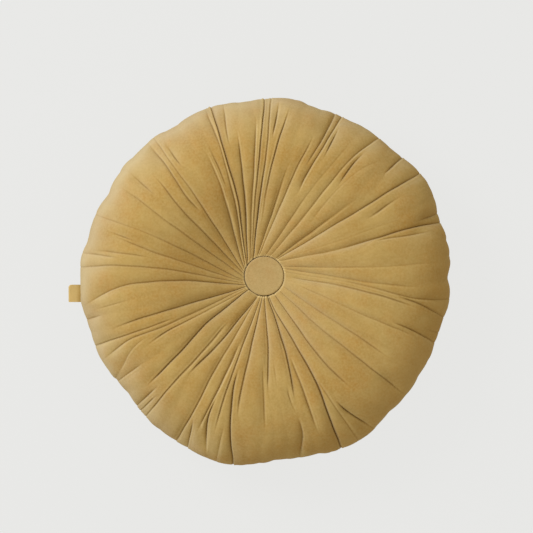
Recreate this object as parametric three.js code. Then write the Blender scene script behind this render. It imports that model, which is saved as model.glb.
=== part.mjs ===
// A round velvet cushion that lies on its back, with its face up along +Z and its tab towards -X.
// Its cover is two gathered strips, joined in a seam round the rim and drawn in by a button each.
// Sizes are in millimetres and angles in degrees, counted from +X towards +Y.
import * as THREE from "three";

// Driving sizes
const CUSHION_RADIUS = 200;
const SEAM_HEIGHT = 58;
const BUTTON_RADIUS = 21.25;
const BUTTON_HEIGHT = 14;
const BUTTON_SIDES = 24;
const FRONT_PIT_HEIGHT = 70;
const BACK_PIT_HEIGHT = 40;
const TAB_WIDTH = 19;
const TAB_REACH = 214;
const TAB_MIDDLE = -19;
const TAB_THICKNESS = 3;
const TAB_FREE_CORNER = 5;
const TAB_TUCKED_CORNER = 1.5;
const GAP = 0.35;

// Fineness of the cushion's surface
const COLUMNS_PER_PILLOW = 3;
const STEPS_PER_SECTION_ROW = 2;

// How far the folds press in, in millimetres
const DEEP = 8.5;
const MEDIUM = 6;
const LIGHT = 4;

// The folds, in order round the cushion. inner, middle and rim are a fold's angles near the
// button, halfway out and at the rim. reach is how far out the pillow after the fold comes.
const FOLDS = [
  { inner: 12, middle: 5, rim: 5, depth: LIGHT, reach: 204 },
  { inner: 26, middle: 19.4, rim: 18, depth: DEEP, reach: 204.4 },
  { inner: 41, middle: 35.7, rim: 33, depth: DEEP, reach: 202.5 },
  { inner: 46, middle: 41.2, rim: 40, depth: MEDIUM, reach: 198.4 },
  { inner: 60.5, middle: 55.5, rim: 50.5, depth: DEEP, reach: 196.5 },
  { inner: 68, middle: 62, rim: 57, depth: MEDIUM, reach: 197.3 },
  { inner: 84, middle: 74, rim: 65, depth: DEEP, reach: 197.3 },
  { inner: 94, middle: 86.5, rim: 80, depth: MEDIUM, reach: 197 },
  { inner: 101, middle: 91.6, rim: 90, depth: DEEP, reach: 197 },
  { inner: 116, middle: 107.5, rim: 107, depth: DEEP, reach: 196.7 },
  { inner: 125, middle: 114.7, rim: 115, depth: LIGHT, reach: 194.5 },
  { inner: 141, middle: 130.3, rim: 130, depth: MEDIUM, reach: 196.7 },
  { inner: 148, middle: 140, rim: 139, depth: MEDIUM, reach: 196 },
  { inner: 158, middle: 150, rim: 148, depth: LIGHT, reach: 196.5 },
  { inner: 167, middle: 159.8, rim: 159.5, depth: MEDIUM, reach: 199 },
  { inner: 175, middle: 167, rim: 164, depth: LIGHT, reach: 200.3 },
  { inner: 180, middle: 174.7, rim: 177, depth: MEDIUM, reach: 202 },
  { inner: 188, middle: 182, rim: 189, depth: DEEP, reach: 200.6 },
  { inner: 201, middle: 198.3, rim: 200, depth: DEEP, reach: 199.5 },
  { inner: 206.5, middle: 205.5, rim: 206, depth: MEDIUM, reach: 198.5 },
  { inner: 210, middle: 208.8, rim: 215, depth: MEDIUM, reach: 197.5 },
  { inner: 217, middle: 221, rim: 225, depth: DEEP, reach: 198.5 },
  { inner: 240, middle: 232.5, rim: 228.5, depth: DEEP, reach: 204 },
  { inner: 245, middle: 241.7, rim: 241, depth: DEEP, reach: 206.3 },
  { inner: 253.5, middle: 251.5, rim: 251, depth: MEDIUM, reach: 208 },
  { inner: 259.7, middle: 258, rim: 260, depth: DEEP, reach: 204 },
  { inner: 271.5, middle: 271, rim: 271, depth: MEDIUM, reach: 199.8 },
  { inner: 284, middle: 284.3, rim: 281.5, depth: DEEP, reach: 203.3 },
  { inner: 291, middle: 295.8, rim: 293, depth: DEEP, reach: 205.3 },
  { inner: 303, middle: 305.5, rim: 305, depth: MEDIUM, reach: 200.6 },
  { inner: 317.5, middle: 319, rim: 319.5, depth: LIGHT, reach: 200 },
  { inner: 328, middle: 327.7, rim: 327, depth: LIGHT, reach: 200 },
  { inner: 345, middle: 339.3, rim: 339, depth: MEDIUM, reach: 198.5 },
  { inner: 357, middle: 353.5, rim: 347.5, depth: DEEP, reach: 203.8 },
  { inner: 362, middle: 356.6, rim: 353, depth: LIGHT, reach: 201.6 },
];

// The radii at which FOLDS gives its inner and middle angles
const INNER_RADIUS = 44;
const MIDDLE_RADIUS = 120;

// The section through a pillow, from the front pit over the rim to the back pit. press is the
// share of a fold's depth, and uneven the share of the outline's unevenness, that a row takes.
const SECTION = [
  { radius: 13, height: FRONT_PIT_HEIGHT, press: 0, uneven: 0 },
  { radius: 22, height: 74.5, press: 0.25, uneven: 0 },
  { radius: 36, height: 83.5, press: 0.6, uneven: 0 },
  { radius: 60, height: 97.5, press: 0.9, uneven: 0.05 },
  { radius: 92, height: 111.5, press: 1, uneven: 0.2 },
  { radius: 126, height: 119, press: 1, uneven: 0.5 },
  { radius: 156, height: 116.5, press: 0.95, uneven: 0.8 },
  { radius: 180, height: 102, press: 0.85, uneven: 1 },
  { radius: 196.5, height: 81, press: 0.7, uneven: 1 },
  { radius: 201.5, height: 67, press: 0.6, uneven: 1 },
  { radius: 198, height: SEAM_HEIGHT, press: 0.5, uneven: 1 },
  { radius: 200.5, height: 48, press: 0.6, uneven: 1 },
  { radius: 193.5, height: 27, press: 0.6, uneven: 1 },
  { radius: 174, height: 7.5, press: 0.35, uneven: 0.9 },
  { radius: 152, height: 0, press: 0, uneven: 0.6 },
  { radius: 92, height: 0, press: 0, uneven: 0.1 },
  { radius: 60, height: 11, press: 0.5, uneven: 0 },
  { radius: 36, height: 26, press: 0.5, uneven: 0 },
  { radius: 22, height: 35.5, press: 0.25, uneven: 0 },
  { radius: 13, height: BACK_PIT_HEIGHT, press: 0, uneven: 0 },
];

// A button's section from its middle underneath to its middle on top. radius is a share of the
// button's, and height a share of its height.
const BUTTON_SECTION = [
  { radius: 0, height: 0 },
  { radius: 0.55, height: 0 },
  { radius: 0.86, height: 0.17 },
  { radius: 0.98, height: 0.34 },
  { radius: 1, height: 0.46 },
  { radius: 0.96, height: 0.6 },
  { radius: 0.84, height: 0.76 },
  { radius: 0.62, height: 0.89 },
  { radius: 0.34, height: 0.97 },
  { radius: 0, height: 1 },
];

const VELVET = new THREE.MeshStandardMaterial({ color: 0xbea05f, roughness: 0.9, metalness: 0 });

const mix = THREE.MathUtils.lerp;
const ease = THREE.MathUtils.smoothstep;

// A fold's angle at a radius: a smooth line through its angles at the three stations.
function foldAngle(fold, radius) {
  if (radius > MIDDLE_RADIUS) {
    return mix(fold.middle, fold.rim, ease(radius, MIDDLE_RADIUS, CUSHION_RADIUS));
  }
  const inwards = (MIDDLE_RADIUS - radius) / (MIDDLE_RADIUS - INNER_RADIUS);
  return mix(fold.middle, fold.inner, inwards * inwards);
}

// The fold at a place in the round. Places past the last fold go on with a full turn more.
function foldAt(index) {
  const turns = Math.floor(index / FOLDS.length);
  const fold = FOLDS[index - turns * FOLDS.length];
  const turn = 360 * turns;
  return {
    ...fold,
    inner: fold.inner + turn,
    middle: fold.middle + turn,
    rim: fold.rim + turn,
  };
}

// How far out the outline lies at share across the pillow that follows fold index.
function outlineReach(index, share) {
  const here = foldAt(index).reach;
  const neighbour = foldAt(share < 0.5 ? index - 1 : index + 1).reach;
  const between = (here + neighbour) / 2;
  return mix(here, between, ease(Math.abs(share - 0.5), 0, 0.5));
}

// How far a point at share across its pillow lies below the pillow's top: most in the folds.
function foldDrop(index, share) {
  const before = foldAt(index).depth * (1 - share) ** 3;
  const after = foldAt(index + 1).depth * share ** 3;
  return before + after;
}

// The rows of the surface: points along the smoothed section, each with its outward direction.
function sectionRows() {
  const places = new THREE.CatmullRomCurve3(
    SECTION.map((row) => new THREE.Vector3(row.radius, row.height, 0)),
    false,
    "centripetal",
  );
  const steps = (SECTION.length - 1) * STEPS_PER_SECTION_ROW;
  const rows = [];
  for (let step = 0; step <= steps; step += 1) {
    const along = step / STEPS_PER_SECTION_ROW;
    const before = SECTION[Math.floor(along)];
    const after = SECTION[Math.ceil(along)];
    const share = along % 1;
    const place = places.getPoint(step / steps);
    const tangent = places.getTangent(step / steps);
    rows.push({
      radius: place.x,
      height: Math.max(0, place.y),
      press: mix(before.press, after.press, share),
      uneven: mix(before.uneven, after.uneven, share),
      outwards: new THREE.Vector2(-tangent.y, tangent.x),
    });
  }
  return rows;
}

// The point of the cushion's surface on one row, at share across the pillow after fold index.
function surfacePoint(row, index, share) {
  const drop = foldDrop(index, share) * row.press;
  const reach = outlineReach(index, share) - CUSHION_RADIUS;
  const radius = row.radius + reach * row.uneven - row.outwards.x * drop;
  const height = row.height - row.outwards.y * drop;
  const start = foldAngle(foldAt(index), row.radius);
  const end = foldAngle(foldAt(index + 1), row.radius);
  const angle = THREE.MathUtils.degToRad(mix(start, end, share));
  return new THREE.Vector3(radius * Math.cos(angle), radius * Math.sin(angle), height);
}

// A closed surface over rings of points, from the first ring to the last, each ring's points in
// the same order. A point in the middle of the first and of the last ring closes the two ends.
function closedGeometry(rings) {
  const count = rings[0].length;
  const positions = rings.flat().flatMap((point) => [point.x, point.y, point.z]);
  const faces = [];
  for (let ring = 0; ring < rings.length - 1; ring += 1) {
    for (let side = 0; side < count; side += 1) {
      const next = (side + 1) % count;
      const corner = ring * count + side;
      const beside = ring * count + next;
      faces.push(corner, corner + count, beside);
      faces.push(beside, corner + count, beside + count);
    }
  }
  const lastRing = (rings.length - 1) * count;
  const firstMiddle = rings.length * count;
  const lastMiddle = firstMiddle + 1;
  positions.push(0, 0, rings[0][0].z);
  positions.push(0, 0, rings.at(-1)[0].z);
  for (let side = 0; side < count; side += 1) {
    const next = (side + 1) % count;
    faces.push(firstMiddle, side, next);
    faces.push(lastMiddle, lastRing + next, lastRing + side);
  }
  const geometry = new THREE.BufferGeometry();
  geometry.setAttribute("position", new THREE.Float32BufferAttribute(positions, 3));
  geometry.setIndex(faces);
  geometry.computeVertexNormals();
  return geometry;
}

function namedMesh(name, geometry) {
  const mesh = new THREE.Mesh(geometry, VELVET);
  mesh.name = name;
  return mesh;
}

function cushionRing(row) {
  const ring = [];
  for (let index = 0; index < FOLDS.length; index += 1) {
    for (let column = 0; column < COLUMNS_PER_PILLOW; column += 1) {
      ring.push(surfacePoint(row, index, column / COLUMNS_PER_PILLOW));
    }
  }
  return ring;
}

function makeCushion() {
  return namedMesh("cushion", closedGeometry(sectionRows().map(cushionRing)));
}

// A button with its dome up and its underside at height 0.
function makeButton(name) {
  const profile = BUTTON_SECTION.map(
    (row) => new THREE.Vector2(row.radius * BUTTON_RADIUS, row.height * BUTTON_HEIGHT),
  );
  const dome = new THREE.LatheGeometry(profile, BUTTON_SIDES);
  dome.rotateX(Math.PI / 2);
  return namedMesh(name, dome);
}

// How far the rim seam reaches towards -X, over the tab's width and a little to each side.
function seamEdge() {
  const place = SECTION.findIndex((row) => row.height === SEAM_HEIGHT);
  const seam = cushionRing(sectionRows()[place * STEPS_PER_SECTION_ROW]);
  const behindTab = seam.filter(
    (point) => point.x < 0 && Math.abs(point.y - TAB_MIDDLE) < TAB_WIDTH,
  );
  return Math.max(...behindTab.map((point) => -point.x));
}

// The tab lies flat in the plane of the rim seam, with its root just clear of the seam.
function makeTab() {
  const free = -TAB_REACH;
  const root = -seamEdge() - GAP;
  const low = TAB_MIDDLE - TAB_WIDTH / 2;
  const high = TAB_MIDDLE + TAB_WIDTH / 2;
  const outline = new THREE.Shape();
  outline.moveTo(root, low);
  outline.lineTo(root, high);
  outline.lineTo(free + TAB_FREE_CORNER, high);
  outline.quadraticCurveTo(free, high, free, high - TAB_FREE_CORNER);
  outline.lineTo(free, low + TAB_TUCKED_CORNER);
  outline.quadraticCurveTo(free, low, free + TAB_TUCKED_CORNER, low);
  outline.closePath();
  const geometry = new THREE.ExtrudeGeometry(outline, {
    depth: TAB_THICKNESS,
    bevelEnabled: false,
    curveSegments: 5,
  });
  const tab = namedMesh("tab", geometry);
  tab.position.z = SEAM_HEIGHT - TAB_THICKNESS / 2;
  return tab;
}

const cushion = new THREE.Group();
cushion.add(makeCushion());

const frontButton = makeButton("button_front");
frontButton.position.z = FRONT_PIT_HEIGHT + GAP;
cushion.add(frontButton);

const backButton = makeButton("button_back");
backButton.rotation.x = Math.PI;
backButton.position.z = BACK_PIT_HEIGHT - GAP;
cushion.add(backButton);

cushion.add(makeTab());

// The origin is the middle of the whole object's underside.
const extent = new THREE.Box3().setFromObject(cushion, true);
const middle = extent.getCenter(new THREE.Vector3());
cushion.position.set(-middle.x, -middle.y, -extent.min.z);

const part = new THREE.Group();
part.add(cushion);

export default part;
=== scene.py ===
# A round velvet cushion, gathered and drawn in by a button, seen from straight above.
from collections import namedtuple

import bpy
import numpy as np
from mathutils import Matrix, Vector


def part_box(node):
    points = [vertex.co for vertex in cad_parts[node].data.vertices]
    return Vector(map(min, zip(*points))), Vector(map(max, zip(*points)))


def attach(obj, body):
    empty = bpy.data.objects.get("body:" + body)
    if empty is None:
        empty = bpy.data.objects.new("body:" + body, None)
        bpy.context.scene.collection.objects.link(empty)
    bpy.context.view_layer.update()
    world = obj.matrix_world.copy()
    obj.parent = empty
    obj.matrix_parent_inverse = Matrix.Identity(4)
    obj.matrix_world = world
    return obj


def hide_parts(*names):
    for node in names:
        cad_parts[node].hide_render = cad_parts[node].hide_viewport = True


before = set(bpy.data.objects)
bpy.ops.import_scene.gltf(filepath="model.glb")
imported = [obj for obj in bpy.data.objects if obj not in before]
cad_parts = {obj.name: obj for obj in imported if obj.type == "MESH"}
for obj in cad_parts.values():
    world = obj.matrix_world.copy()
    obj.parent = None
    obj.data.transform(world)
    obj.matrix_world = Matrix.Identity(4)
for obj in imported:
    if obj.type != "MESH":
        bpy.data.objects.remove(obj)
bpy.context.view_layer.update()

MM = 0.001

# The photograph and its scale. Its pixels are counted from the upper left corner.
PHOTO_SIDE_PX = 533
BUTTON_CENTRE_PX = (264.25, 276.0)
MM_PER_PX = 1.09

# The camera and where it stands
CAMERA_HEIGHT = 3.0
SENSOR_WIDTH = 36.0
SHARP_HEIGHT_MM = 66.0

# Driving sizes of the cushion, in millimetres
WIDEST = 201.5
SEAM_HEIGHT = 58.0
SEAM_RADIUS = 196.6

# The rim seam: the band beside it and where more rows lie in that, how dark and wide the painted
# shade along its groove is, and the puckers that its stitches pull
SEAM_BAND = 5.0
SEAM_STEPS = (0.6, 0.3, 0.12, 0.0)
SEAM_SHADE = 0.75
SEAM_LINE = 0.8
PUCKERS = 84
PUCKER_DEPTH = 1.3
PUCKER_REACH = 8.0

# Fineness of the cushion's surface. The back has half the front's columns.
FRONT_COLUMNS = 1000
FRONT_ROWS = 71
BACK_ROWS = 42
FRONT_CLOSER = 0.6
FINEST_STEP = 0.4

# The section through a pillow, from under the front button over the rim to the back button.
Section = namedtuple("Section", "radius height")
FRONT_SECTION = [
    Section(12, 70), Section(19.5, 71), Section(21.38, 73), Section(21.38, 75),
    Section(21.38, 81.8), Section(21.39, 83.2), Section(21.5, 83.7), Section(22, 83.95),
    Section(23.4, 84.2), Section(36, 87.8), Section(60, 98), Section(92, 111.5),
    Section(126, 119), Section(156, 116.5), Section(180, 102),
    Section(196.5, 81.5), Section(WIDEST, 68), Section(201, 62.5), Section(199.4, 59.4),
    Section(SEAM_RADIUS, SEAM_HEIGHT),
]
BACK_SECTION = [
    Section(SEAM_RADIUS, SEAM_HEIGHT), Section(199.2, 56.6), Section(200.8, 53), Section(200.5, 46),
    Section(193.5, 27), Section(174, 7.5), Section(152, 0), Section(122, 0), Section(92, 0),
    Section(60, 11), Section(36, 26), Section(22, 35.5), Section(13, 40),
]

# The outline that the pillows reach, seen from above, with angles in degrees, and the radii
# between which it comes in
Reach = namedtuple("Reach", "angle radius")
OUTLINE = [
    Reach(0, 202.2), Reach(5, 205.0), Reach(10, 205.2), Reach(18, 199.8), Reach(25, 204.0),
    Reach(30, 204.9), Reach(40, 198.8), Reach(50, 196.0), Reach(60, 193.4), Reach(70, 192.4),
    Reach(80, 195.4), Reach(90, 193.3), Reach(100, 191.5), Reach(110, 193.5), Reach(120, 191.4),
    Reach(128, 193.6), Reach(135, 192.6), Reach(144, 195.2), Reach(150, 193.2), Reach(160, 196.9),
    Reach(169, 197.4), Reach(174, 200.3), Reach(181, 199.2), Reach(188, 202.3), Reach(195, 199.4),
    Reach(202, 199.2), Reach(209, 198.3), Reach(215, 196.2), Reach(224, 197.3), Reach(230, 200.3),
    Reach(240, 203.2), Reach(250, 206.4), Reach(257, 209.2), Reach(265, 207.1), Reach(276, 202.2),
    Reach(285, 202.5), Reach(293, 206.4), Reach(300, 206.2), Reach(305, 205.1), Reach(311, 203.0),
    Reach(320, 203.0), Reach(330, 201.6), Reach(344, 200.0), Reach(350, 202.0), Reach(356, 203.3),
]
OUTLINE_GROWTH = (60.0, 190.0)

# The front's folds, in order round the cushion. rim to core are a fold's angles at STATIONS,
# start and end the radii between which it shows, and outer and inner how deep it is there.
# GATHER_CENTRE is where they meet, from the button's middle.
# clock and counter say how much the cloth rolls up on its clockwise and its other side.
Fold = namedtuple("Fold", "rim edge middle inside core start end outer inner clock counter")
GATHER_CENTRE = (0.55, -0.5)
STATIONS = (200.0, 164.0, 120.0, 82.0, 49.0)
FOLDS = [
    Fold(5, 4.8, 5.2, 7, 12.5, 0, 180, 1.5, 1.5, 0.4, 0.1),
    Fold(15, 16, 18.5, 20, 26, 128, 186, 3.5, 1.5, 0.5, 0.2),
    Fold(17.3, 18.7, 19.2, 20.8, 27.5, 0, 230, 6.5, 1.5, 0.6, 0.1),
    Fold(20, 20, 20, 20, 20, 182, 230, 6.5, 2.5, 0, 0),
    Fold(22.5, 22.7, 24.5, 26.8, 33, 0, 160, 1, 1, 0.5, 0.3),
    Fold(31.7, 31, 29.5, 31, 37, 130, 164, 5, 1.5, 0.8, 0.2),
    Fold(33.8, 34.5, 35.5, 37.5, 42, 0, 230, 6, 2.5, 0.7, 0.1),
    Fold(41, 41, 41, 41, 41, 176, 230, 6.5, 2.5, 0.8, 0),
    Fold(40, 40, 41, 43, 47, 0, 138, 1, 2, 0.9, 0),
    Fold(42, 47.5, 50.7, 50.5, 52, 82, 182, 1.5, 1.5, 0.4, 0.1),
    Fold(50, 51.8, 51, 53, 58, 134, 176, 7, 1.5, 0.3, 0.2),
    Fold(50.6, 53.8, 55.3, 57, 61.5, 0, 230, 3.5, 1.5, 0.8, 0.2),
    Fold(57, 58, 61.3, 64.3, 70, 0, 182, 1.5, 1.5, 0.4, 0.2),
    Fold(63.5, 63.5, 63.5, 63.5, 63.5, 155, 188, 6.5, 2, 0.5, 0.6),
    Fold(64.5, 65.8, 68, 69, 74, 104, 230, 5.5, 3, 1, 0.2),
    Fold(66.7, 67.5, 71, 74, 80, 137, 230, 5, 4, 0.5, 0),
    Fold(71, 71.2, 74, 77.2, 84, 0, 166, 4.5, 2.5, 0.7, 0.3),
    Fold(75, 76.5, 78.5, 81.7, 88.5, 0, 132, 1, 3, 0.7, 0.3),
    Fold(80.5, 83, 86.3, 89.5, 95, 62, 186, 6, 2, 0.5, 1.1),
    Fold(85, 86.5, 88, 91, 97, 160, 194, 7, 2.5, 0.8, 0.6),
    Fold(88, 88.5, 90, 94, 100.5, 0, 230, 4, 7, 0.8, 0.7),
    Fold(89.8, 90.8, 93, 96.5, 104, 0, 230, 6, 2.5, 0.6, 1.5),
    Fold(93, 94, 96.2, 100.5, 108, 0, 176, 5, 2.5, 1.5, 0),
    Fold(101, 101.2, 102.3, 105.3, 113.5, 0, 164, 6, 7, 0.9, 0.1),
    Fold(103.5, 104.8, 105, 107, 113, 156, 205, 3.5, 3, 0.4, 0.5),
    Fold(107.2, 107.3, 107.5, 108.8, 117, 0, 230, 7, 6, 0, 1.5),
    Fold(109.8, 109.2, 110, 112.8, 122, 0, 205, 3.5, 4, 1, 0.2),
    Fold(113, 113, 112.8, 114, 120, 108, 158, 4.5, 2.5, 0.1, 0.5),
    Fold(115.5, 115.6, 115.9, 119.5, 128.5, 0, 153, 3, 4, 1.2, 0.1),
    Fold(126.7, 127, 127.5, 130, 136, 158, 184, 5.5, 4, 0.2, 0.4),
    Fold(128.8, 129.5, 130.7, 133.8, 141.5, 0, 230, 2.5, 4.5, 0.6, 0.3),
    Fold(131.3, 132, 134.8, 136, 143, 104, 198, 4.5, 6, 0.7, 0),
    Fold(137, 137.8, 140.8, 144, 150.5, 0, 164, 4.5, 4.5, 0.4, 0.2),
    Fold(142, 143, 144, 147, 153, 156, 188, 3.5, 3, 0.1, 0.2),
    Fold(148, 148.7, 150.8, 153.7, 160, 0, 186, 2.5, 4, 0.3, 0.1),
    Fold(160, 159.8, 160.2, 163, 170, 0, 230, 2, 4, 0.2, 0.1),
    Fold(163, 164.2, 166, 168, 174, 152, 177, 4.5, 3, 0.3, 0.2),
    Fold(164, 165.2, 167.8, 170.7, 177, 0, 169, 3.5, 3, 0.3, 0.2),
    Fold(171, 170.8, 170.5, 173, 179, 130, 186, 3, 2.5, 0.1, 0.2),
    Fold(172.6, 172.5, 172.4, 174, 180, 164, 230, 3, 4.5, 0.3, 0.3),
    Fold(177, 175.8, 175.4, 177, 181, 0, 230, 3.5, 3, 0.2, 0.2),
    Fold(190, 184.8, 182.5, 183, 188, 0, 194, 4, 4.5, 0.1, 0.3),
    Fold(191.5, 190.3, 189, 190, 194, 152, 188, 2.5, 2.5, 0.2, 0.3),
    Fold(193.5, 193, 192, 192, 196, 184, 230, 4, 3, 0.1, 0.2),
    Fold(199, 198.7, 198.8, 200, 202.5, 0, 172, 5, 5, 0.2, 0.3),
    Fold(202.2, 202.8, 204.2, 205, 206, 112, 230, 4.5, 3.5, 0.3, 0.5),
    Fold(207.3, 205, 206.2, 207.2, 207.9, 0, 198, 4.5, 2.5, 0.2, 0.5),
    Fold(214.5, 208.5, 206.5, 207, 208, 147, 205, 2.5, 2, 0, 0.6),
    Fold(210.5, 210.3, 209.3, 209.9, 211.6, 0, 145, 5.5, 2, 0.5, 0.7),
    Fold(215.3, 215.2, 215, 214, 213, 168, 230, 3, 3, 0.1, 0.5),
    Fold(223, 222.8, 221.7, 219, 218.7, 0, 174, 8, 6.5, 0.5, 0.4),
    Fold(225.2, 225.5, 225, 223, 222, 172, 230, 5, 3.5, 0.2, 0.8),
    Fold(227.2, 228, 228, 227, 226, 178, 230, 4.5, 2.5, 0.8, 0.6),
    Fold(229.6, 229.4, 230, 231, 231.5, 68, 230, 4.5, 3, 0.7, 0.8),
    Fold(229, 230, 232.8, 236.2, 240.2, 0, 133, 7.5, 5.5, 0.7, 0.5),
    Fold(241.6, 242.2, 241.8, 243.1, 245, 0, 230, 5, 2.5, 0.4, 0.6),
    Fold(245.5, 243, 243, 244, 246, 174, 230, 6.5, 3, 0.1, 0.6),
    Fold(246, 246.2, 247.5, 248.3, 249, 80, 177, 6, 3.5, 0, 1.2),
    Fold(252, 248.3, 248, 249, 250, 142, 194, 7.5, 3, 0.2, 0.8),
    Fold(252.5, 252, 251.6, 252.3, 254, 0, 169, 4.5, 3.5, 0.8, 0.6),
    Fold(255, 254.3, 253, 253, 255, 164, 230, 2.5, 2, 0, 0.8),
    Fold(260.2, 257.3, 254, 252.8, 254, 108, 230, 9.5, 5, 0.2, 0.9),
    Fold(259.5, 259.2, 258.2, 259, 260, 0, 147, 5.5, 5, 0.4, 0.6),
    Fold(270.3, 270, 269.4, 268, 267, 98, 161, 4, 2, 0.2, 0.5),
    Fold(271, 271, 271.5, 272.8, 271.9, 0, 122, 8.5, 5, 0.6, 0.6),
    Fold(276, 276, 276, 276, 275, 92, 122, 3, 1.5, 0.6, 0.3),
    Fold(280.8, 284.3, 284.5, 286, 285, 158, 230, 3.5, 3.5, 0, 0.7),
    Fold(281, 281, 281, 281, 280, 124, 148, 4, 1.5, 0, 0.7),
    Fold(283, 283.3, 284.5, 286, 284.7, 0, 135, 7.5, 7.5, 0.7, 0),
    Fold(288.3, 288.3, 288.2, 286, 285, 96, 172, 5, 4, 0, 1),
    Fold(294, 294.7, 296, 294.5, 289.7, 0, 230, 11, 6, 0.4, 0.4),
    Fold(299.7, 298.6, 296.8, 295.5, 291, 126, 230, 3, 2.5, 0.2, 0.5),
    Fold(306, 301, 298, 297, 294, 156, 198, 9.5, 3.5, 0.3, 0.4),
    Fold(309, 308.5, 305.4, 303.5, 302.2, 0, 149, 4.5, 4.5, 0.3, 0.3),
    Fold(319.8, 319.5, 318.6, 317.3, 316.9, 0, 196, 4.5, 2.5, 0.2, 0.2),
    Fold(326.5, 326.6, 327.5, 327.3, 328.6, 0, 157, 4, 2, 0.1, 0.2),
    Fold(338.4, 338.6, 339, 340.8, 344, 40, 176, 3, 1.5, 0.3, 0.1),
    Fold(338.9, 340.3, 341, 342, 345, 152, 230, 5, 4.5, 0.4, 0.1),
    Fold(342, 342, 342, 343, 346, 188, 230, 3, 2, 0.1, 0.1),
    Fold(348, 348.8, 350.9, 353.3, 355, 30, 164, 4.5, 2.5, 0.4, 0.5),
    Fold(347.3, 350.4, 353.2, 356.8, 361, 148, 230, 5.5, 3, 0.3, 0.2),
    Fold(353.2, 351.8, 354.2, 357.5, 361.5, 0, 230, 3.5, 1.5, 0.5, 0.1),
    Fold(356.5, 356.3, 356.6, 359.3, 365, 0, 164, 2.5, 2, 0.4, 0.1),
]

# A fold's profile: a narrow slit, a round shoulder on each side and a soft hollow. share is of
# the fold's depth, less for shallow folds where power is more than 0. width and widening are
# how far it reaches, in millimetres.
Wall = namedtuple("Wall", "share power width widening")
SLIT = Wall(0.18, 0.6, 0.35, 0.03)
SHOULDER = Wall(0.12, 0.2, 1.7, 0.0)
HOLLOW = Wall(0.043, 0.0, 6.5, 0.0)
SKEW = 0.55
DEEPEST = 9.0
FOLD_JOINING = 3.0

# Painted light on the cloth's lip round a button, lightening the shade there: pale up to the first radius
# and as the rest at the second
HUB_PAINTED_LIGHT = -0.9
HUB_LINE = (21.8, 22.6)

# The nap's tones: the radii between which they change, how often they are blended, how far they
# differ by strip, the depth at which a fold parts them, and what is added at button and crest
TONE_CHANGE = (80.0, 135.0)
TONE_STEPS = 60
TONE_SPREAD = 0.7
LEAST_DEPTH = 1.0
HUB_TONE = 0.4
CREST_TONE = -0.35
NEAR_SEED = 2.7
FAR_SEED = 7.9

# The rolled edges beside a fold. They begin between the radii RISING.
RISING = (21.5, 26.0)
LIP_RISE = 0.75
LIP_PLACE = 1.6
LIP_WIDTH = 0.8
LIP_LEAN = 0.9
LIP_FULL_DEPTH = 3.0
LIP_FULL_RADIUS = 70.0
LIP_LEAST_SIZE = 0.45

# The painted shade down a fold's crease, and how strong it is beside the fold's depth
CREASE_WIDTH = 0.7
CREASE_SHADE = 1.3

# The unevenness of folds and filling, in millimetres, and how neighbouring folds keep apart
FOLD_WOBBLE = 0.2
DENT_WAVES = 6
DENT_DEPTH = 1.1
LEAST_GAP = 1.6
LEAST_GAP_SHARE = 0.4
RELAXING_STEPS = 1200
SPACING_STEPS = 300
SIDE_DRIFT = 0.03

# The cloth simulation that fills the pillows
CLOTH_COLUMN_STEP = 3
CLOTH_ROW_STEP = 2
CLOTH_FRAMES = 20
CLOTH_PRESSURE = 300.0
FIRM_DEPTH = 4.0
CLOTH_TRAVEL = 9.0


def ease(low, high, value):
    """A smooth step from 0 at low to 1 at high."""
    share = np.clip((value - low) / (high - low), 0.0, 1.0)
    return share * share * (3.0 - 2.0 * share)


def smooth_line(knots, values, at):
    """Values at the places at, on a smooth curve through the knots, straight past its ends."""
    knots = np.asarray(knots, float)
    values = np.asarray(values, float)
    slopes = np.gradient(values, knots, axis=0)
    place = np.clip(np.searchsorted(knots, at) - 1, 0, len(knots) - 2)
    shape = np.shape(at) + (1,) * (values.ndim - 1)
    step = (knots[place + 1] - knots[place]).reshape(shape)
    share = (at - knots[place]).reshape(shape) / step
    inside = np.clip(share, 0.0, 1.0)
    start = values[place] * (1 + 2 * inside) * (1 - inside) ** 2
    start += step * slopes[place] * inside * (1 - inside) ** 2
    end = values[place + 1] * inside ** 2 * (3 - 2 * inside)
    end += step * slopes[place + 1] * inside ** 2 * (inside - 1)
    before = np.minimum(share, 0.0) * step * slopes[0]
    after = np.maximum(share - 1.0, 0.0) * step * slopes[-1]
    return start + end + before + after


def section_rows(section, count, closer=0.0, seam=None):
    """Rows along a smoothed section: radius, height and outward direction, closer at its start.

    seam is the end that lies at the rim seam, "first" or "last", where there are more rows.
    """
    radius = np.array([row.radius for row in section], float)
    height = np.array([row.height for row in section], float)
    chord = np.concatenate([[0], np.cumsum(np.hypot(np.diff(radius), np.diff(height)))])
    fine = np.linspace(0, chord[-1], 2000)
    fine_radius = smooth_line(chord, radius, fine)
    fine_height = np.maximum(smooth_line(chord, height, fine), 0.0)
    length = np.concatenate([[0], np.cumsum(np.hypot(np.diff(fine_radius), np.diff(fine_height)))])
    share = np.linspace(0, 1, count)
    share = share - closer * np.sin(np.pi * share) / np.pi * (1 - share)
    steps = SEAM_BAND * np.array(SEAM_STEPS)
    if seam == "last":
        at = np.concatenate([(length[-1] - SEAM_BAND) * share, length[-1] - steps])
        away = length[-1] - at
    elif seam == "first":
        at = np.concatenate([steps[::-1], SEAM_BAND + (length[-1] - SEAM_BAND) * share])
        away = at
    else:
        at = length[-1] * share
        away = np.full(count, length[-1])
    slope = np.stack([np.gradient(fine_radius, length), np.gradient(fine_height, length)])
    slope /= np.linalg.norm(slope, axis=0)
    along = [np.interp(at, length, part) for part in (fine_radius, fine_height, *slope)]
    sewn = 1.0 - ease(0.0, SEAM_BAND, away)
    return {
        "radius": along[0],
        "height": along[1],
        "out_radial": sewn - along[3] * (1 - sewn),
        "out_up": along[2] * (1 - sewn),
        "length": at,
        "seam": away,
    }


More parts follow.
